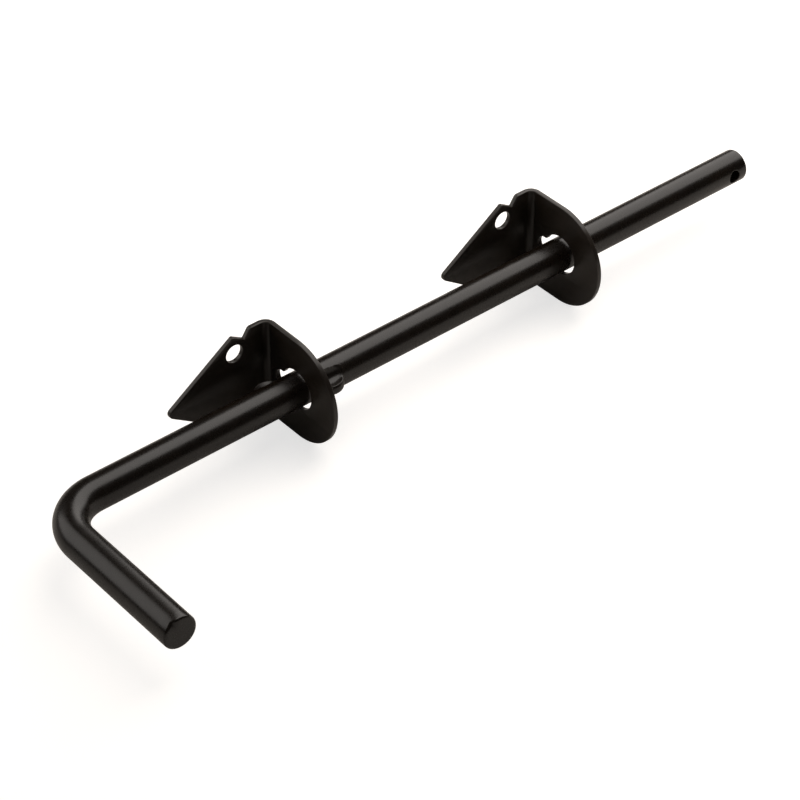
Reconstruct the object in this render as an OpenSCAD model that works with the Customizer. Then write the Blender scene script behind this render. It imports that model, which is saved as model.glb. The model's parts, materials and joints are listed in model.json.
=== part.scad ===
// Cane bolt: an L-shaped drop rod that slides in two identical gate brackets.
// +X runs along the rod towards its ground end, +Y points into the gate and +Z across it.
// The origin is midway between the upper bracket's two screw holes, on its mounting face.

/* [Rod] */
// Diameter of the bar
rod_d = 12.7; // [10:0.1:14]
// Length from the handle's centreline to the ground end
rod_length = 322.5; // [300:0.5:450]
// Length of the handle from the rod's centreline to its end
handle_length = 72.6; // [60:0.1:110]
// Radius of the handle bend, at the bar's centreline
bend_radius = 17.5; // [14:0.5:20]
// Chamfer on both ends of the bar
end_chamfer = 0.9; // [0.3:0.1:1.5]
// Diameter of the cross hole near the ground end
cross_hole_d = 5.2; // [3:0.1:6]
// Distance of the cross hole from the ground end
cross_hole_inset = 6.8; // [6:0.1:15]

/* [Pinched lugs] */
// Distance from the handle's centreline to the gate-side lug
gate_lug_at = 94.5; // [90:0.5:100]
// Distance between the two lugs, along the rod
lug_spacing = 20; // [19:0.1:26]
// How far a lug reaches from the rod's centreline
lug_reach = 9.8; // [8.8:0.1:10.4]
// Thickness of a lug at its rim
lug_thickness = 4.4; // [3:0.1:5]
// Corner radius of a lug, seen along +Z
lug_radius = 5.6; // [4.5:0.1:6]

/* [Brackets] */
// Thickness of the sheet
sheet_t = 1.9; // [1.5:0.1:2.5]
// Width of a bracket along its bend
bracket_w = 41.8; // [40:0.1:46]
// Distance from the mounting face to the middle of the keyhole
keyhole_reach = 18.2; // [17.5:0.1:24]
// Diameter of the keyhole's round part
keyhole_d = 15.9; // [14:0.1:17]
// Width of the keyhole's notch
notch_w = 6.6; // [5.6:0.1:7.5]
// How far the notch reaches from the middle of the keyhole
notch_reach = 11.7; // [11:0.1:12.2]
// Inner radius of the sheet's bend
bend_inner_r = 2.4; // [1:0.1:3]
// Diameter of a screw hole
screw_hole_d = 7.2; // [5:0.1:8]
// Distance between a bracket's two screw holes
screw_spacing = 26.2; // [24:0.1:28]
// Height of the screw holes above the tab's far face
screw_height = 16.1; // [15:0.1:18]
// Height of the back plate's tip above the tab's far face
plate_height = 44.3; // [40:0.1:50]

/* [Assembly] */
// Distance between the two brackets on the gate
bracket_spacing = 125; // [120:1:180]

/* [Hidden] */

cut = 1;
round_fn = 96;
hole_fn = 64;
rod_r = rod_d / 2;
half_w = bracket_w / 2;

// The back plate's outline, as half widths and heights above the tab's far face
ear_w = half_w - 0.7;
ear_z = 16.5;
waist_w = half_w - 3.7;
waist_z = 11.5;
shoulder_z = 9;
tip_round = 2;
ear_round = 0.8;
shoulder_round = 1.6;
corner_steps = 6;

// The two dimples that the pinching dies leave above and below each lug
dimple_r = 7;
dimple_offset = 8.5;
dimple_lift = 8.5;

// At rest the rod is raised, and the upper bracket's tab is between the two lugs
lug_middle = gate_lug_at + lug_spacing / 2;
tab_x = screw_height;
handle_x = tab_x - sheet_t / 2 - lug_middle;

// Points of a rounded corner at b, between the edges from a and to c
function unit(v) = v / norm(v);
function rounded(a, b, c, r) =
    let (
        in_dir = unit(a - b),
        out_dir = unit(c - b),
        half = acos(in_dir * out_dir) / 2,
        middle = b + unit(in_dir + out_dir) * r / sin(half),
        from = b + in_dir * r / tan(half) - middle,
        to = b + out_dir * r / tan(half) - middle,
        turn = cross(from, to) > 0 ? 180 - 2 * half : 2 * half - 180
    )
    [for (i = [0 : corner_steps])
        let (t = turn * i / corner_steps)
        middle + [from.x * cos(t) - from.y * sin(t), from.x * sin(t) + from.y * cos(t)]];

// A round bar along +Z, with a chamfer at its far end
module bar(length) {
    cylinder(r = rod_r, h = length - end_chamfer, $fn = round_fn);
    translate([0, 0, length - end_chamfer])
        cylinder(r1 = rod_r, r2 = rod_r - end_chamfer, h = end_chamfer, $fn = round_fn);
}

// A flat lug on the +Y side of the rod
module lug() {
    translate([0, lug_reach - lug_radius, -lug_thickness / 2])
        cylinder(r = lug_radius, h = lug_thickness, $fn = hole_fn);
}

// The dimples of one lug, above and below it
module lug_dimples() {
    for (side = [-1, 1])
        translate([0, dimple_offset, side * dimple_lift])
            sphere(r = dimple_r, $fn = hole_fn);
}

// Places its children at both lugs: the gate-side one and the handle-side one
module at_lugs() {
    translate([gate_lug_at, 0, 0])
        children();
    translate([gate_lug_at + lug_spacing, 0, 0])
        mirror([0, 1, 0])
            children();
}

module cane_rod() {
    color([0.07, 0.06, 0.055])
        translate([handle_x, -keyhole_reach, 0])
            difference() {
                union() {
                    translate([bend_radius, 0, 0])
                        rotate([0, 90, 0])
                            bar(rod_length - bend_radius);
                    translate([0, -bend_radius, 0])
                        rotate([90, 0, 0])
                            bar(handle_length - bend_radius);
                    translate([bend_radius, -bend_radius, 0])
                        rotate([0, 0, 90])
                            rotate_extrude(angle = 90, $fn = round_fn)
                                translate([bend_radius, 0])
                                    circle(r = rod_r, $fn = round_fn);
                    at_lugs()
                        lug();
                }
                at_lugs()
                    lug_dimples();
                translate([rod_length - cross_hole_inset, rod_d, 0])
                    rotate([90, 0, 0])
                        cylinder(d = cross_hole_d, h = 2 * rod_d, $fn = hole_fn);
            }
}

// The back plate's outline: x is the height above the tab's far face, y is across the plate
module plate_outline() {
    heel = [sheet_t + bend_inner_r, half_w];
    shoulder = [shoulder_z, half_w];
    waist = [waist_z, waist_w];
    ear = [ear_z, ear_w];
    tip = [plate_height + tip_round, 0];
    side = concat(
        [heel],
        rounded(heel, shoulder, waist, shoulder_round),
        [waist],
        rounded(waist, ear, tip, ear_round)
    );
    other_side = [for (i = [len(side) - 1 : -1 : 0]) [side[i].x, -side[i].y]];
    polygon(concat(side, rounded(ear, tip, [ear.x, -ear.y], tip_round), other_side));
}

// The tab's outline: x is the distance from the mounting face, y is across the tab
module tab_outline() {
    difference() {
        union() {
            translate([keyhole_reach, 0])
                circle(r = half_w, $fn = round_fn);
            translate([sheet_t + bend_inner_r, -half_w])
                square([keyhole_reach - sheet_t - bend_inner_r, bracket_w]);
        }
        translate([-half_w, -half_w])
            square([half_w + sheet_t + bend_inner_r, bracket_w]);
    }
}

// The quarter-round bend between the tab and the back plate
module sheet_bend() {
    outer_r = bend_inner_r + sheet_t;
    translate([0, 0, -half_w])
        linear_extrude(bracket_w)
            intersection() {
                difference() {
                    translate([outer_r, outer_r])
                        circle(r = outer_r, $fn = hole_fn);
                    translate([outer_r, outer_r])
                        circle(r = bend_inner_r, $fn = hole_fn);
                }
                square(outer_r);
            }
}

// One bracket: its tab's far face is at x = 0, its back plate runs along +X and its
// mounting face is at y = 0, with the tab along +Y
module bracket() {
    difference() {
        union() {
            rotate([90, 0, 0])
                translate([0, 0, -sheet_t])
                    linear_extrude(sheet_t)
                        plate_outline();
            rotate([90, 0, 90])
                linear_extrude(sheet_t)
                    tab_outline();
            sheet_bend();
        }
        translate([-cut, keyhole_reach, 0])
            rotate([0, 90, 0])
                cylinder(d = keyhole_d, h = sheet_t + 2 * cut, $fn = round_fn);
        translate([-cut, keyhole_reach - notch_reach + notch_w / 2, 0])
            rotate([0, 90, 0])
                cylinder(d = notch_w, h = sheet_t + 2 * cut, $fn = hole_fn);
        translate([-cut, keyhole_reach - notch_reach + notch_w / 2, -notch_w / 2])
            cube([sheet_t + 2 * cut, notch_reach - notch_w / 2, notch_w]);
        for (side = [-1, 1])
            translate([screw_height, -cut, side * screw_spacing / 2])
                rotate([-90, 0, 0])
                    cylinder(d = screw_hole_d, h = sheet_t + 2 * cut, $fn = hole_fn);
    }
}

// A bracket turned to its place on the gate, with its back plate towards the handle
module bracket_on_gate(along) {
    translate([tab_x + along, 0, 0])
        rotate([0, 0, 180])
            bracket();
}

module upper_bracket() {
    color([0.10, 0.09, 0.08])
        bracket_on_gate(0);
}

module lower_bracket() {
    color([0.10, 0.09, 0.08])
        bracket_on_gate(bracket_spacing);
}

cane_rod();
upper_bracket();
lower_bracket();
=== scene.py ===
import json
import math

import bmesh
import bpy
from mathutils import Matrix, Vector


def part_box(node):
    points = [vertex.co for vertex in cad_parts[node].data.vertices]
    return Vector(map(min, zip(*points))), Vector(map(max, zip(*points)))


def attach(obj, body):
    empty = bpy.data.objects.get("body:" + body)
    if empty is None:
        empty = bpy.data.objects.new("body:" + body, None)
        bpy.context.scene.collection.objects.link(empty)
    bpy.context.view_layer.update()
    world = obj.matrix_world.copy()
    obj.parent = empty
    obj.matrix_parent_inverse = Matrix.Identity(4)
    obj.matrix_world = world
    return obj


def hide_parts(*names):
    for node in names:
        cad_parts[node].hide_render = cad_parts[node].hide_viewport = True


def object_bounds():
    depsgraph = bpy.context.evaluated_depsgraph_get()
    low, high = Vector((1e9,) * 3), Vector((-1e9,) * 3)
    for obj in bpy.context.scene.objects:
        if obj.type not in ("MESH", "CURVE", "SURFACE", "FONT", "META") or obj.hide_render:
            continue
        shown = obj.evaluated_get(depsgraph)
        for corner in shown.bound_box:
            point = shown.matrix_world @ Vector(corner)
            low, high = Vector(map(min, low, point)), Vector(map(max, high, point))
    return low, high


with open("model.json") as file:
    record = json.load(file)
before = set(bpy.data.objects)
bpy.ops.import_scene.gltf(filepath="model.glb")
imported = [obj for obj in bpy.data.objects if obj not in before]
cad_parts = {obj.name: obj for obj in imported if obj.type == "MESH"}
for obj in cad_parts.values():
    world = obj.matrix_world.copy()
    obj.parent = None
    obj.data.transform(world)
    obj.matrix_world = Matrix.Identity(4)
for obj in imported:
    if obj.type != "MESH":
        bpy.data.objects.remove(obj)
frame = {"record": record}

CAD_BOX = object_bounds()
MM = 0.001

# ---------------------------------------------------------------- sizes, from the frame
ROD_LOW, ROD_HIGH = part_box("cane_rod")
MOUNTS = {mount["name"]: mount for mount in frame["record"]["mounts"]}
CROSS_HOLE = MOUNTS["cross_hole"]
SCREWS = MOUNTS["upper_screws"]

ROD_R = (ROD_HIGH.z - ROD_LOW.z) / 2
AXIS_Y = CROSS_HOLE["pos_m"][1]
AXIS_Z = (ROD_HIGH.z + ROD_LOW.z) / 2
HANDLE_X = ROD_LOW.x + ROD_R
ROD_LENGTH = ROD_HIGH.x - HANDLE_X
HANDLE_LENGTH = AXIS_Y - ROD_LOW.y
LUG_REACH = ROD_HIGH.y - AXIS_Y
HOLE_AT = CROSS_HOLE["pos_m"][0] - HANDLE_X
HOLE_R = CROSS_HOLE["dims"]["r_mm"] * MM
SCREW_R = SCREWS["dims"]["hole_r_mm"] * MM
SCREW_SPACING = SCREWS["dims"]["spacing_y_mm"] * MM
HALF_W = (CAD_BOX[1].z - CAD_BOX[0].z) / 2
KEYHOLE_REACH = -AXIS_Y

# ---------------------------------------------------------------- sizes, as in the part's source
BEND_RADIUS = 17.5 * MM
LUG_AT = 94.5 * MM
LUG_SPACING = 20 * MM
LUG_RADIUS = 5.6 * MM

SHEET_T = 1.9 * MM
FOLD_INNER = 2.4 * MM
KEYHOLE_R = 7.95 * MM
NOTCH_HALF = 3.3 * MM
NOTCH_REACH = 11.7 * MM
SCREW_HEIGHT = 16.1 * MM
PLATE_HEIGHT = 44.3 * MM
SHOULDER_HEIGHT = 9 * MM
WAIST_HEIGHT = 11.5 * MM
EAR_HEIGHT = 16.5 * MM
WAIST_W = HALF_W - 3.7 * MM
EAR_W = HALF_W - 0.7 * MM
SHOULDER_ROUND = 1.6 * MM
EAR_ROUND = 0.8 * MM
TIP_ROUND = 2 * MM

# ---------------------------------------------------------------- finer detail of the rod
# How finely the bar is divided: round it, round the handle's bend and along it
RING_STEPS = 192
RING_ANGLES = [2 * math.pi * j / RING_STEPS for j in range(RING_STEPS)]
BEND_STEPS = 40
COARSE_STEP = 3 * MM
LUG_STEP = 0.3 * MM
HOLE_STEP = 0.8 * MM

# The rounding of both ends, and the rings that fill their flat faces
END_ROUND = 1.0 * MM
END_ROUND_STEPS = 6
END_FACE_SHARES = (0.9, 0.75, 0.6, 0.45, 0.3, 0.15)

# A lug: half its thickness, its blend into the bar beside it, its flare into the bar at its two
# ends, and the width of its rounded rim
LUG_HALF = 2.0 * MM
LUG_BLEND = 0.5 * MM
LUG_FLARE = 0.7 * MM
LUG_RIM = 1.1 * MM

# The dents that the pinching dies leave above and below each lug. Each is an ellipsoid whose
# middle is DENT_OUT out from the rod's axis and DENT_UP above or below it. It is DENT_DEPTH in
# radius across the rod and DENT_REACH along it.
DENT_OUT = 6.7 * MM
DENT_UP = 4.8 * MM
DENT_DEPTH = 3.6 * MM
DENT_REACH = 7.0 * MM
DENT_BLEND = 0.25 * MM

# The nick in the rim of the handle's end, placed from the middle of that end
NICK_X = -2.8 * MM
NICK_Z = 5.2 * MM
NICK_WIDTH = 1.3 * MM
NICK_DEPTH = 0.7 * MM
NICK_RINGS = 14

# The cross hole: its rounded rim, its wall, and the window in the bar that its mesh fills, which
# reaches HOLE_PATCH to each side of the hole's middle
HOLE_ROUND = 0.35 * MM
HOLE_ROUND_STEPS = 5
HOLE_WALL_STEPS = 8
HOLE_PATCH_STEPS = 22
HOLE_PATCH = ROD_R * math.sin(2 * math.pi * HOLE_PATCH_STEPS / RING_STEPS)
HOLE_PATCH_SHARES = (0.3, 0.55, 0.75, 0.9, 1.0)

# ---------------------------------------------------------------- finer detail of the brackets
# The rounding of the sheet's cut edges, and of the corners at its waist
SHEET_EDGE = 0.28 * MM
WAIST_ROUND = 0.35 * MM

# How far the corners between the keyhole and its notch are cut back: round the keyhole, in
# degrees, and along the notch
NOTCH_EASE_ANGLE = 3
NOTCH_EASE = 0.5 * MM

# How finely the sheet's outlines are divided
ROUND_STEPS = 72
NOTCH_STEPS = 20
SCREW_STEPS = 48
CORNER_STEPS = 6
WAIST_STEPS = 4
TIP_STEPS = 10

# The fold: its outer radius, the length of sheet in it, the cuts that let its mesh bend, and the
# distance under which the points that they leave are joined
FOLD_OUTER = FOLD_INNER + SHEET_T
FOLD_LENGTH = (FOLD_INNER + SHEET_T / 2) * math.pi / 2
FOLD_CUTS = 14
WELD = 0.02 * MM

# ---------------------------------------------------------------- finer detail of the coating
ROD_BLACK = (0.0060, 0.0036, 0.0018)
# The brackets' black is lighter than the rod's. Part of that is their own browner tone, and part is
# painted light that makes up for the light the lamps don't give them in this pose.
BRACKET_BLACK_AND_PAINTED_LIGHT = (0.0150, 0.0105, 0.0070)
THIN_PAINT = (0.030, 0.025, 0.020)

# The scale of each pattern, in features to a metre
TONE_SCALE = 90.0
SCUFF_SCALE = 700.0
GLOSS_SCALE = 260.0
PEEL_SCALE = 620.0
SPECK_SCALE = 240.0
BUMP_DEPTH = 0.03 * MM

# In degrees: the turn between two faces where thin paint starts to show on the edge between
# them, how much more turn it takes to show fully, and the turn past which shading is sharp
EDGE_START = 8
EDGE_SPAN = 16
SHARP_ANGLE = 40

# ---------------------------------------------------------------- the stage
CAMERA_AZIMUTH = -40.0
CAMERA_ELEVATION = 39.1
CAMERA_DISTANCE = 0.9269
CAMERA_LENS = 118.35
AIM_ALONG_ROD = 0.4109
AIM_ALONG_HANDLE = 0.3

FLOOR_SIZE = 8
FLOOR_COLOUR = (0.68, 0.65, 0.61, 1)
FLOOR_GLOW = 0.7
ROOM_LIGHT = 0.03
ROOM_GLOW = FLOOR_GLOW + 0.03
WHITE = (1, 1, 1, 1)
WARM = (1.0, 0.95, 0.91, 1)

# The overhead panel's height and corners, in the model's frame. Its near edge and its slanting
# edges set where the highlights along the rod start and end.
OVERHEAD_HEIGHT = 0.5
OVERHEAD_CORNERS = ((-0.05, -0.23), (1.5, -0.23), (1.5, 1.28), (0.25, 0.33), (-0.05, 0.1))
OVERHEAD_RADIANCE = 2.2

# The soft box on the left, placed from the middle of the object as the camera sees it: to the
# right, away from the camera, and up
LEFT_BOX_PLACE = (-1.0, 0.2, 0.68)
LEFT_BOX_WIDTH = 1.1
LEFT_BOX_DEPTH = 1.0
LEFT_BOX_RADIANCE = 1.4


# ---------------------------------------------------------------- the rod's surface
def smooth_max(a, b, width):
    """The larger of two numbers, with a rounded change from one to the other."""
    h = max(0.0, width - abs(a - b)) / width
    return max(a, b) + h * h * width / 4


def smooth_min(a, b, width):
    """The smaller of two numbers, with a rounded change from one to the other."""
    return -smooth_max(-a, -b, width)


def lug_edge(along):
    """How far a lug reaches from the rod's axis, at a distance along the rod from its middle."""
    if abs(along) >= LUG_RADIUS:
        return ROD_R
    tip = LUG_REACH - LUG_RADIUS + math.sqrt(LUG_RADIUS ** 2 - along ** 2)
    return smooth_max(ROD_R, tip, LUG_FLARE)


def lug_height(along, out):
    """Half the thickness of the rod and its lug, at a distance out from the rod's axis."""
    bar = math.sqrt(max(ROD_R ** 2 - out ** 2, 0.0))
    past_rim = min((lug_edge(along) - out) / LUG_RIM, 1.0)
    ear = 0.0
    if abs(along) < LUG_RADIUS:
        ear = LUG_HALF * math.sqrt(max(1 - (1 - past_rim) ** 2, 0.0))
    height = smooth_max(bar, ear, LUG_BLEND) if out < ROD_R + LUG_BLEND else ear
    share = ((out - DENT_OUT) / DENT_DEPTH) ** 2 + (along / DENT_REACH) ** 2
    if share < 1:
        height = smooth_min(height, DENT_UP - DENT_DEPTH * math.sqrt(1 - share), DENT_BLEND)
    return max(height, 0.0)


def rod_section(along, angle):
    """A point of the rod's section: towards the gate, and up. Angle 0 faces the gate."""
    out, up = math.cos(angle), math.sin(angle)
    for lug, side in ((LUG_AT, 1), (LUG_AT + LUG_SPACING, -1)):
        if abs(along - lug) < DENT_REACH and out * side > 0:
            reach = lug_edge(along - lug) * out * side
            return side * reach, math.copysign(lug_height(along - lug, reach), up)
    return ROD_R * out, ROD_R * up


def steps(start, end, most):
    """Even steps from start to end, no longer than most, without the start itself."""
    count = max(1, math.ceil((end - start) / most - 1e-6))
    return [start + (end - start) * (i + 1) / count for i in range(count)]


def shaft_stations():
    """Where the rings of the straight shaft lie: closer together at the lugs and the hole."""
    places = [BEND_RADIUS]
    for lug in (LUG_AT, LUG_AT + LUG_SPACING):
        places += steps(places[-1], lug - DENT_REACH, COARSE_STEP)
        places += steps(places[-1], lug + DENT_REACH, LUG_STEP)
    places += steps(places[-1], HOLE_AT - HOLE_PATCH, COARSE_STEP)
    places += steps(places[-1], HOLE_AT + HOLE_PATCH, HOLE_STEP)
    places += steps(places[-1], ROD_LENGTH - END_ROUND, COARSE_STEP)
    return places


def round_ring(centre, out, radius):
    """A round ring of the bar. Every ring is its centre, its outward direction in the plane of
    the bend, and its points as distances outward and up."""
    return centre, out, [(radius * math.cos(a), radius * math.sin(a)) for a in RING_ANGLES]


def end_rings(start):
    """(distance, radius) of the rings past start that round a bar's end and fill its face."""
    rings = []
    for i in range(1, END_ROUND_STEPS + 1):
        a = math.pi / 2 * i / END_ROUND_STEPS
        rings.append((start + END_ROUND * math.sin(a), ROD_R - END_ROUND * (1 - math.cos(a))))
    for share in END_FACE_SHARES:
        rings.append((start + END_ROUND, (ROD_R - END_ROUND) * share))
    return rings


def handle_rings():
    """The rings of the straight handle, from its end to the bend."""
    straight = HANDLE_LENGTH - END_ROUND
    places = [(d, ROD_R) for d in [BEND_RADIUS] + steps(BEND_RADIUS, straight, COARSE_STEP)]
    places += end_rings(straight)
    out = Vector((-1, 0, 0))
    rings = []
    for distance, radius in reversed(places):
        rings.append(round_ring(Vector((HANDLE_X, AXIS_Y - distance, AXIS_Z)), out, radius))
    return rings


def bend_rings():
    """The rings of the bend, from the handle to the shaft."""
    middle = Vector((HANDLE_X + BEND_RADIUS, AXIS_Y - BEND_RADIUS, AXIS_Z))
    rings = []
    for i in range(1, BEND_STEPS):
        a = math.pi / 2 * i / BEND_STEPS
        out = Vector((-math.cos(a), math.sin(a), 0))
        rings.append(round_ring(middle + out * BEND_RADIUS, out, ROD_R))
    return rings


def shaft_rings():
    """The rings of the straight shaft with its lugs, from the bend to the ground end."""
    out = Vector((0, 1, 0))
    rings = []
    for along in shaft_stations():
        section = [rod_section(along, a) for a in RING_ANGLES]
        rings.append((Vector((HANDLE_X + along, AXIS_Y, AXIS_Z)), out, section))
    for along, radius in end_rings(ROD_LENGTH - END_ROUND):
        rings.append(round_ring(Vector((HANDLE_X + along, AXIS_Y, AXIS_Z)), out, radius))
    return rings


def bridge(bm, first, second):
    """Faces between two closed loops of equally many vertices."""
    count = len(first)
    for i in range(count):
        k = (i + 1) % count
        bm.faces.new((first[i], first[k], second[k], second[i]))


def sweep(bm, rings):
    """Skins the rings, closes both ends with a fan and returns the loops of vertices."""
    loops = []
    for centre, out, section in rings:
        loops.append([bm.verts.new(centre + out * o + Vector((0, 0, u))) for o, u in section])
    for first, second in zip(loops, loops[1:]):
        bridge(bm, first, second)
    for loop, ring in ((loops[0], rings[0]), (loops[-1], rings[-1])):
        tip = bm.verts.new(ring[0])
        for j in range(RING_STEPS):
            bm.faces.new((loop[j], loop[(j + 1) % RING_STEPS], tip))
    return loops


def mark_sheared_end(loops):
    """Presses a small nick into the rim of the handle's end, where the bar was sheared off."""
    nick = Vector((HANDLE_X + NICK_X, AXIS_Z + NICK_Z))
    for loop in loops[:NICK_RINGS]:
        for v in loop:
            away = (Vector((v.co.x, v.co.z)) - nick).length / NICK_WIDTH
            v.co.y += NICK_DEPTH * math.exp(-away * away)


# ---------------------------------------------------------------- the cross hole
def ring_at(rings, along):
    """The index of the ring nearest to a distance along the rod."""
    return min(range(len(rings)), key=lambda i: abs(rings[i][0].x - HANDLE_X - along))


def open_window(bm, loops, low, high, columns):
    """Takes a window out of the bar and returns the loop of vertices round it."""
    inside = {loops[i][j] for i in range(low + 1, high) for j in columns[1:-1]}
    bmesh.ops.delete(bm, geom=list(inside), context="VERTS")
    edge = [loops[low][j] for j in columns]
    edge += [loops[i][columns[-1]] for i in range(low + 1, high + 1)]
    edge += [loops[high][j] for j in reversed(columns[:-1])]
    edge += [loops[i][columns[0]] for i in range(high - 1, low, -1)]
    return edge


def mouth_profile():
    """The loops from a window's edge to the hole's rounded rim: how far each has changed from
    the window's shape to a circle, the circle's radius, and its depth below the bar's surface."""
    outer = HOLE_R + HOLE_ROUND
    profile = [(share, outer, 0.0) for share in HOLE_PATCH_SHARES]
    for i in range(1, HOLE_ROUND_STEPS + 1):
        a = math.pi / 2 * i / HOLE_ROUND_STEPS
        profile.append((1.0, outer - HOLE_ROUND * math.sin(a), HOLE_ROUND * (1 - math.cos(a))))
    return profile


def hole_mouth(bm, edge, side):
    """Fills a window up to the rim of the hole and returns the rim's vertices."""
    middle = Vector((HANDLE_X + HOLE_AT, AXIS_Y, AXIS_Z))
    previous = edge
    for share, radius, depth in mouth_profile():
        loop = []
        for v in edge:
            flat = Vector((v.co.x - middle.x, v.co.z - middle.z))
            spot = flat.lerp(flat.normalized() * radius, share)
            y = math.sqrt(max(ROD_R ** 2 - spot.y ** 2, 0.0)) - depth
            loop.append(bm.verts.new((middle.x + spot.x, middle.y + side * y, middle.z + spot.y)))
        bridge(bm, previous, loop)
        previous = loop
    return previous


def hole_wall(bm, first, last):
    """The wall of the hole, from one rim to the other."""
    previous = first
    for i in range(1, HOLE_WALL_STEPS):
        share = i / HOLE_WALL_STEPS
        loop = [bm.verts.new(a.co.lerp(b.co, share)) for a, b in zip(first, last)]
        bridge(bm, previous, loop)
        previous = loop
    bridge(bm, previous, last)


def drill_cross_hole(bm, rings, loops):
    """Opens the cross hole right through the bar, from the side that faces the gate."""
    low = ring_at(rings, HOLE_AT - HOLE_PATCH)
    high = ring_at(rings, HOLE_AT + HOLE_PATCH)
    rims = []
    for middle, side in ((0, 1), (RING_STEPS // 2, -1)):
        across = range(-HOLE_PATCH_STEPS, HOLE_PATCH_STEPS + 1)
        columns = [(middle + side * j) % RING_STEPS for j in across]
        edge = open_window(bm, loops, low, high, columns)
        rims.append(hole_mouth(bm, edge, side))
    hole_wall(bm, rims[0], rims[1])


# ---------------------------------------------------------------- the brackets' sheet
def arc(middle, radius, start, end, count):
    """Points on an arc, its angles in degrees."""
    points = []
    for i in range(count + 1):
        a = math.radians(start + (end - start) * i / count)
        points.append(Vector((middle[0] + radius * math.cos(a), middle[1] + radius * math.sin(a))))
    return points


def rounded(a, b, c, radius, count):
    """Points of a rounded corner at b, between the edges from a and to c."""
    into, away = (a - b).normalized(), (c - b).normalized()
    half = into.angle(away) / 2
    middle = b + (into + away).normalized() * radius / math.sin(half)
    first = b + into * radius / math.tan(half) - middle
    last = b + away * radius / math.tan(half) - middle
    turn = math.pi - 2 * half
    if first.x * last.y - first.y * last.x < 0:
        turn = -turn
    points = []
    for i in range(count + 1):
        t = turn * i / count
        x = first.x * math.cos(t) - first.y * math.sin(t)
        y = first.x * math.sin(t) + first.y * math.cos(t)
        points.append(middle + Vector((x, y)))
    return points


def on_plate(height, across):
    """A point of the flat blank, from its height above the tab's far face once folded."""
    return Vector((FOLD_LENGTH / 2 + height - FOLD_OUTER, across))


def on_tab(distance, across):
    """A point of the flat blank, from its distance from the mounting face once folded."""
    return Vector((-FOLD_LENGTH / 2 - distance + FOLD_OUTER, across))


def blank_outline():
    """The sheet's outline: one side of the back plate, its tip, its other side and the tab."""
    heel = on_plate(FOLD_OUTER, HALF_W)
    shoulder = on_plate(SHOULDER_HEIGHT, HALF_W)
    waist = on_plate(WAIST_HEIGHT, WAIST_W)
    ear = on_plate(EAR_HEIGHT, EAR_W)
    tip = on_plate(PLATE_HEIGHT + TIP_ROUND, 0)
    other_ear = on_plate(EAR_HEIGHT, -EAR_W)
    side = [heel]
    side += rounded(heel, shoulder, waist, SHOULDER_ROUND, CORNER_STEPS)
    side += rounded(shoulder, waist, ear, WAIST_ROUND, WAIST_STEPS)
    side += rounded(waist, ear, tip, EAR_ROUND, CORNER_STEPS)
    point = rounded(ear, tip, other_ear, TIP_ROUND, TIP_STEPS)
    other_side = [Vector((p.x, -p.y)) for p in reversed(side)]
    tab = arc(on_tab(KEYHOLE_REACH, 0), HALF_W, 270, 90, ROUND_STEPS)
    return side + point + other_side + tab


def keyhole_outline():
    """The keyhole: a round hole, and a round-ended notch from it towards the back plate."""
    middle = on_tab(KEYHOLE_REACH, 0)
    open_angle = math.degrees(math.asin(NOTCH_HALF / KEYHOLE_R)) + NOTCH_EASE_ANGLE
    corner = middle.x + math.sqrt(KEYHOLE_R ** 2 - NOTCH_HALF ** 2) + NOTCH_EASE
    notch_end = (middle.x + NOTCH_REACH - NOTCH_HALF, 0)
    points = arc(middle, KEYHOLE_R, open_angle, 360 - open_angle, ROUND_STEPS)
    points.append(Vector((corner, -NOTCH_HALF)))
    points += arc(notch_end, NOTCH_HALF, -90, 90, NOTCH_STEPS)
    points.append(Vector((corner, NOTCH_HALF)))
    return points


def screw_outline(side):
    """One of the two screw holes."""
    middle = on_plate(SCREW_HEIGHT, side * SCREW_SPACING / 2)
    return arc(middle, SCREW_R, 0, 360, SCREW_STEPS)[:-1]


def flat_blank():
    """The bracket before it is folded: a flat sheet with rounded edges, as a mesh."""
    curve = bpy.data.curves.new("blank", "CURVE")
    curve.dimensions = "2D"
    curve.fill_mode = "BOTH"
    curve.extrude = SHEET_T / 2 - SHEET_EDGE
    curve.bevel_depth = SHEET_EDGE
    curve.bevel_resolution = 2
    curve.offset = -SHEET_EDGE
    for points in (blank_outline(), keyhole_outline(), screw_outline(1), screw_outline(-1)):
        spline = curve.splines.new("POLY")
        spline.points.add(len(points) - 1)
        for target, point in zip(spline.points, points):
            target.co = (point.x, point.y, 0, 1)
        spline.use_cyclic_u = True
    holder = bpy.data.objects.new("blank", curve)
    bpy.context.collection.objects.link(holder)
    bpy.context.view_layer.update()
    made = bpy.data.meshes.new_from_object(holder.evaluated_get(bpy.context.evaluated_depsgraph_get()))
    bpy.data.objects.remove(holder)
    bpy.data.curves.remove(curve)
    return made


def folded(point):
    """Where a point of the flat blank goes when the sheet is bent: height above the tab's far
    face, distance from the mounting face and place across the bracket."""
    along, across, through = point
    depth = through + SHEET_T / 2
    if along < -FOLD_LENGTH / 2:
        return depth, FOLD_OUTER - FOLD_LENGTH / 2 - along, across
    if along > FOLD_LENGTH / 2:
        return FOLD_OUTER + along - FOLD_LENGTH / 2, depth, across
    turn = (along / FOLD_LENGTH + 0.5) * math.pi / 2
    radius = FOLD_OUTER - depth
    return FOLD_OUTER - radius * math.cos(turn), FOLD_OUTER - radius * math.sin(turn), across


def cut_fold(bm):
    """Cuts the flat blank across at even steps, so that its mesh can bend smoothly there."""
    bmesh.ops.remove_doubles(bm, verts=bm.verts, dist=1e-6)
    for i in range(FOLD_CUTS + 1):
        place = Vector(((i / FOLD_CUTS - 0.5) * FOLD_LENGTH, 0, 0))
        geom = list(bm.verts) + list(bm.edges) + list(bm.faces)
        bmesh.ops.bisect_plane(bm, geom=geom, dist=1e-7, plane_co=place, plane_no=(1, 0, 0))
    bmesh.ops.remove_doubles(bm, verts=bm.verts, dist=WELD)


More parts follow.
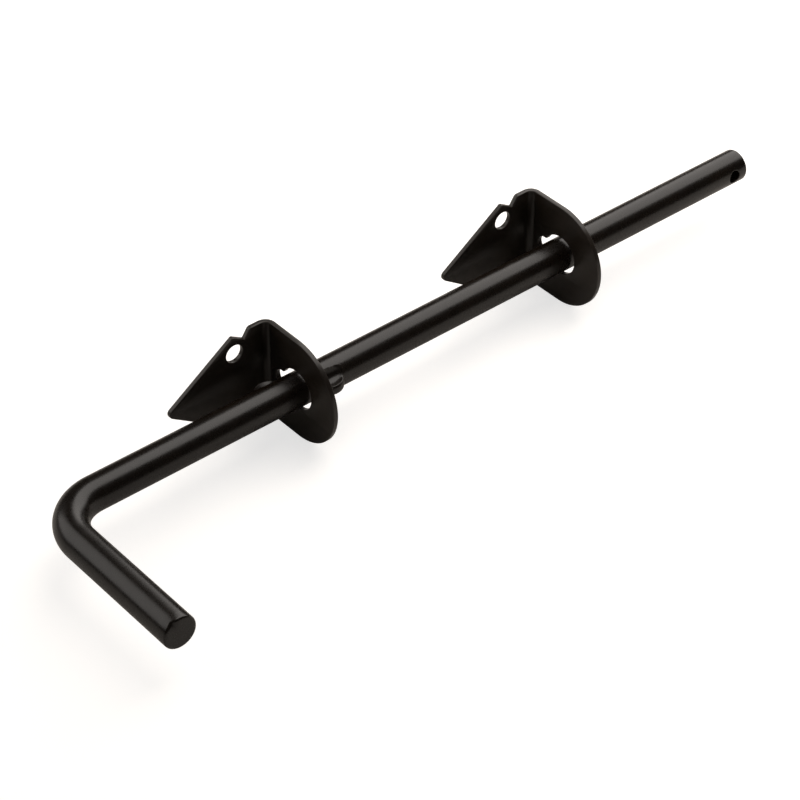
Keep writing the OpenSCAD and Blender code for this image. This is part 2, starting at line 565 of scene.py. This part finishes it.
# ---------------------------------------------------------------- the coating
def node(tree, kind, **inputs):
    """A shader node with its sockets set, each to a value or to another node's output."""
    made = tree.nodes.new(kind)
    for name, value in inputs.items():
        socket = made.inputs[name.replace("_", " ")]
        if isinstance(value, bpy.types.NodeSocket):
            tree.links.new(value, socket)
        else:
            socket.default_value = value
    return made


def noise(tree, place, scale, detail, roughness):
    """A noise pattern's value, from 0 to 1."""
    made = node(tree, "ShaderNodeTexNoise", Vector=place, Scale=scale, Detail=detail, Roughness=roughness)
    return made.outputs["Fac"]


def combined(tree, operation, first, second):
    """The sum or product of two nodes' outputs."""
    made = tree.nodes.new("ShaderNodeMath")
    made.operation = operation
    tree.links.new(first, made.inputs[0])
    tree.links.new(second, made.inputs[1])
    return made.outputs["Value"]


def coating_colour(tree, place, colour):
    """Black that is a little lighter and darker in patches, and thin and paler on the edges."""
    tone = node(tree, "ShaderNodeValToRGB", Fac=noise(tree, place, TONE_SCALE, 3.0, 0.5))
    dark, light = tone.color_ramp.elements
    dark.position = 0.3
    dark.color = (*[c * 0.75 for c in colour], 1)
    light.position = 0.7
    light.color = (*[c * 1.3 for c in colour], 1)

    edge = tree.nodes.new("ShaderNodeAttribute")
    edge.attribute_name = "edge"
    scuffs = noise(tree, place, SCUFF_SCALE, 4.0, 0.6)
    worn = combined(tree, "MULTIPLY", edge.outputs["Fac"], scuffs)
    mixed = tree.nodes.new("ShaderNodeMix")
    mixed.data_type = "RGBA"
    tree.links.new(worn, mixed.inputs["Factor"])
    tree.links.new(tone.outputs["Color"], mixed.inputs["A"])
    mixed.inputs["B"].default_value = (*THIN_PAINT, 1)
    return mixed.outputs["Result"]


def coating_gloss(tree, place, roughness):
    """A roughness that varies a little from place to place."""
    pattern = noise(tree, place, GLOSS_SCALE, 5.0, 0.6)
    least, most = roughness - 0.05, roughness + 0.06
    return node(tree, "ShaderNodeMapRange", Value=pattern, To_Min=least, To_Max=most).outputs["Result"]


def coating_relief(tree, place, grain):
    """The surface direction of a fine orange peel with a few raised specks."""
    peel = noise(tree, place, PEEL_SCALE, 2.0, 0.45)
    cells = node(tree, "ShaderNodeTexVoronoi", Vector=place, Scale=SPECK_SCALE).outputs["Distance"]
    specks = node(tree, "ShaderNodeMapRange", Value=cells, From_Max=0.07, To_Min=0.5, To_Max=0.0)
    height = combined(tree, "ADD", peel, specks.outputs["Result"])
    bump = node(tree, "ShaderNodeBump", Height=height, Strength=grain, Distance=BUMP_DEPTH)
    return bump.outputs["Normal"]


def coating(name, colour, roughness, grain):
    """A baked black coating over steel: slightly uneven in colour and gloss, with a fine orange
    peel, a few specks, and thinner, lighter paint along the outer edges."""
    material = bpy.data.materials.new(name)
    material.use_nodes = True
    tree = material.node_tree
    shader = tree.nodes["Principled BSDF"]
    place = tree.nodes.new("ShaderNodeTexCoord").outputs["Object"]
    tree.links.new(coating_colour(tree, place, colour), shader.inputs["Base Color"])
    tree.links.new(coating_gloss(tree, place, roughness), shader.inputs["Roughness"])
    tree.links.new(coating_relief(tree, place, grain), shader.inputs["Normal"])
    shader.inputs["IOR"].default_value = 1.5
    shader.inputs["Metallic"].default_value = 0.0
    return material


# ---------------------------------------------------------------- the pieces
def mark_edges(bm):
    """Marks each vertex by how sharply the surface turns outward there, in the edge attribute."""
    edge_wear = bm.verts.layers.float.new("edge")
    for v in bm.verts:
        sharpest = 0.0
        for e in v.link_edges:
            if len(e.link_faces) == 2:
                sharpest = max(sharpest, e.calc_face_angle_signed(0.0))
        v[edge_wear] = min(max((math.degrees(sharpest) - EDGE_START) / EDGE_SPAN, 0.0), 1.0)


def make_piece(bm, name, material, node_name, body):
    """Turns a bmesh into a smooth-shaded piece that stands for a CAD node and rides its body."""
    bmesh.ops.recalc_face_normals(bm, faces=bm.faces)
    mark_edges(bm)
    mesh = bpy.data.meshes.new(name)
    bm.to_mesh(mesh)
    bm.free()
    mesh.shade_smooth()
    mesh.set_sharp_from_angle(angle=math.radians(SHARP_ANGLE))
    mesh.materials.append(material)
    piece = bpy.data.objects.new(name, mesh)
    bpy.context.collection.objects.link(piece)
    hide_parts(node_name)
    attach(piece, body)


def make_rod(material):
    """The bent rod, with its two pinched lugs and its cross hole."""
    bm = bmesh.new()
    rings = handle_rings() + bend_rings() + shaft_rings()
    loops = sweep(bm, rings)
    mark_sheared_end(loops)
    drill_cross_hole(bm, rings, loops)
    make_piece(bm, "bent_rod", material, "cane_rod", "rod")


def make_bracket(name, node_name, material):
    """One bracket, stamped flat and then folded, in the place of its CAD node."""
    low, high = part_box(node_name)
    bm = bmesh.new()
    blank = flat_blank()
    bm.from_mesh(blank)
    bpy.data.meshes.remove(blank)
    cut_fold(bm)
    for v in bm.verts:
        height, distance, across = folded(v.co)
        v.co = Vector((high.x - height, high.y - distance, (low.z + high.z) / 2 + across))
    make_piece(bm, name, material, node_name, "brackets")


# ---------------------------------------------------------------- floor, light and camera
def direction(azimuth, elevation):
    """The unit vector that points from the object to an azimuth and elevation in degrees."""
    a, e = math.radians(azimuth), math.radians(elevation)
    return Vector((math.sin(a) * math.cos(e), -math.cos(a) * math.cos(e), math.sin(e)))


def look(holder, place, target):
    """Puts a light or camera at a place, facing a target."""
    holder.location = place
    holder.rotation_mode = "QUATERNION"
    holder.rotation_quaternion = (target - place).to_track_quat("-Z", "Y")
    bpy.context.collection.objects.link(holder)


def seen_by_camera(tree, bounced, seen):
    """One value for what light bounces off, and another for what the camera sees directly."""
    straight = tree.nodes.new("ShaderNodeLightPath").outputs["Is Camera Ray"]
    return node(tree, "ShaderNodeMapRange", Value=straight, To_Min=bounced, To_Max=seen).outputs["Result"]


def make_floor():
    """A pale floor. It looks white to the camera, as if lit from below, but adds no light."""
    bpy.ops.mesh.primitive_plane_add(size=FLOOR_SIZE, location=(0, 0, CAD_BOX[0].z))
    floor = bpy.context.object
    floor.name = "floor"
    material = bpy.data.materials.new("white_floor")
    material.use_nodes = True
    shader = material.node_tree.nodes["Principled BSDF"]
    shader.inputs["Base Color"].default_value = FLOOR_COLOUR
    shader.inputs["Roughness"].default_value = 1.0
    shader.inputs["Specular IOR Level"].default_value = 0.0
    shader.inputs["Emission Color"].default_value = WHITE
    glow = seen_by_camera(material.node_tree, 0.0, FLOOR_GLOW)
    material.node_tree.links.new(glow, shader.inputs["Emission Strength"])
    floor.data.materials.append(material)


def make_world():
    """A dim room, whose far walls look about as pale to the camera as the far floor."""
    world = bpy.data.worlds.new("studio")
    bpy.context.scene.world = world
    world.use_nodes = True
    tree = world.node_tree
    back = tree.nodes["Background"]
    back.inputs["Color"].default_value = WHITE
    tree.links.new(seen_by_camera(tree, ROOM_LIGHT, ROOM_GLOW), back.inputs["Strength"])


def make_camera():
    """The camera looks down at the object from its handle's side."""
    aim_x = HANDLE_X + AIM_ALONG_ROD * ROD_LENGTH
    aim_y = AXIS_Y - AIM_ALONG_HANDLE * HANDLE_LENGTH
    aim = Vector((aim_x, aim_y, AXIS_Z - ROD_R))
    camera = bpy.data.objects.new("camera", bpy.data.cameras.new("camera"))
    camera.data.lens = CAMERA_LENS
    camera.data.clip_start = 0.01
    camera.data.clip_end = 50
    look(camera, aim + direction(CAMERA_AZIMUTH, CAMERA_ELEVATION) * CAMERA_DISTANCE, aim)
    bpy.context.scene.camera = camera


def light_panel(name, corners, height, radiance):
    """A flat glowing panel above the object, out of the camera's sight."""
    bm = bmesh.new()
    bm.faces.new([bm.verts.new((x, y, height)) for x, y in corners])
    mesh = bpy.data.meshes.new(name)
    bm.to_mesh(mesh)
    bm.free()
    panel = bpy.data.objects.new(name, mesh)
    bpy.context.collection.objects.link(panel)
    panel.visible_camera = False
    material = bpy.data.materials.new(name)
    material.use_nodes = True
    shader = material.node_tree.nodes["Principled BSDF"]
    shader.inputs["Base Color"].default_value = (0, 0, 0, 1)
    shader.inputs["Emission Color"].default_value = WARM
    shader.inputs["Emission Strength"].default_value = radiance
    mesh.materials.append(material)


def soft_box(name, place, width, depth, radiance):
    """A large rectangular light that faces the middle of the object. Its place is given from
    there, as the camera sees it: to the right, away from the camera, and up."""
    right = direction(CAMERA_AZIMUTH + 90, 0)
    away = direction(CAMERA_AZIMUTH + 180, 0)
    middle = (CAD_BOX[0] + CAD_BOX[1]) / 2
    light = bpy.data.lights.new(name, "AREA")
    light.color = WARM[:3]
    light.shape = "RECTANGLE"
    light.size = width
    light.size_y = depth
    light.energy = radiance * math.pi * width * depth
    holder = bpy.data.objects.new(name, light)
    holder.visible_camera = False
    look(holder, middle + right * place[0] + away * place[1] + Vector((0, 0, place[2])), middle)


# ---------------------------------------------------------------- making everything
rod_coating = coating("rod_coating", ROD_BLACK, 0.27, 0.18)
bracket_coating = coating("bracket_coating", BRACKET_BLACK_AND_PAINTED_LIGHT, 0.31, 0.22)
make_rod(rod_coating)
make_bracket("folded_bracket_upper", "upper_bracket", bracket_coating)
make_bracket("folded_bracket_lower", "lower_bracket", bracket_coating)

bpy.context.scene.view_settings.view_transform = "Standard"
make_floor()
make_world()
make_camera()
light_panel("overhead_panel", OVERHEAD_CORNERS, OVERHEAD_HEIGHT, OVERHEAD_RADIANCE)
soft_box("left_box", LEFT_BOX_PLACE, LEFT_BOX_WIDTH, LEFT_BOX_DEPTH, LEFT_BOX_RADIANCE)
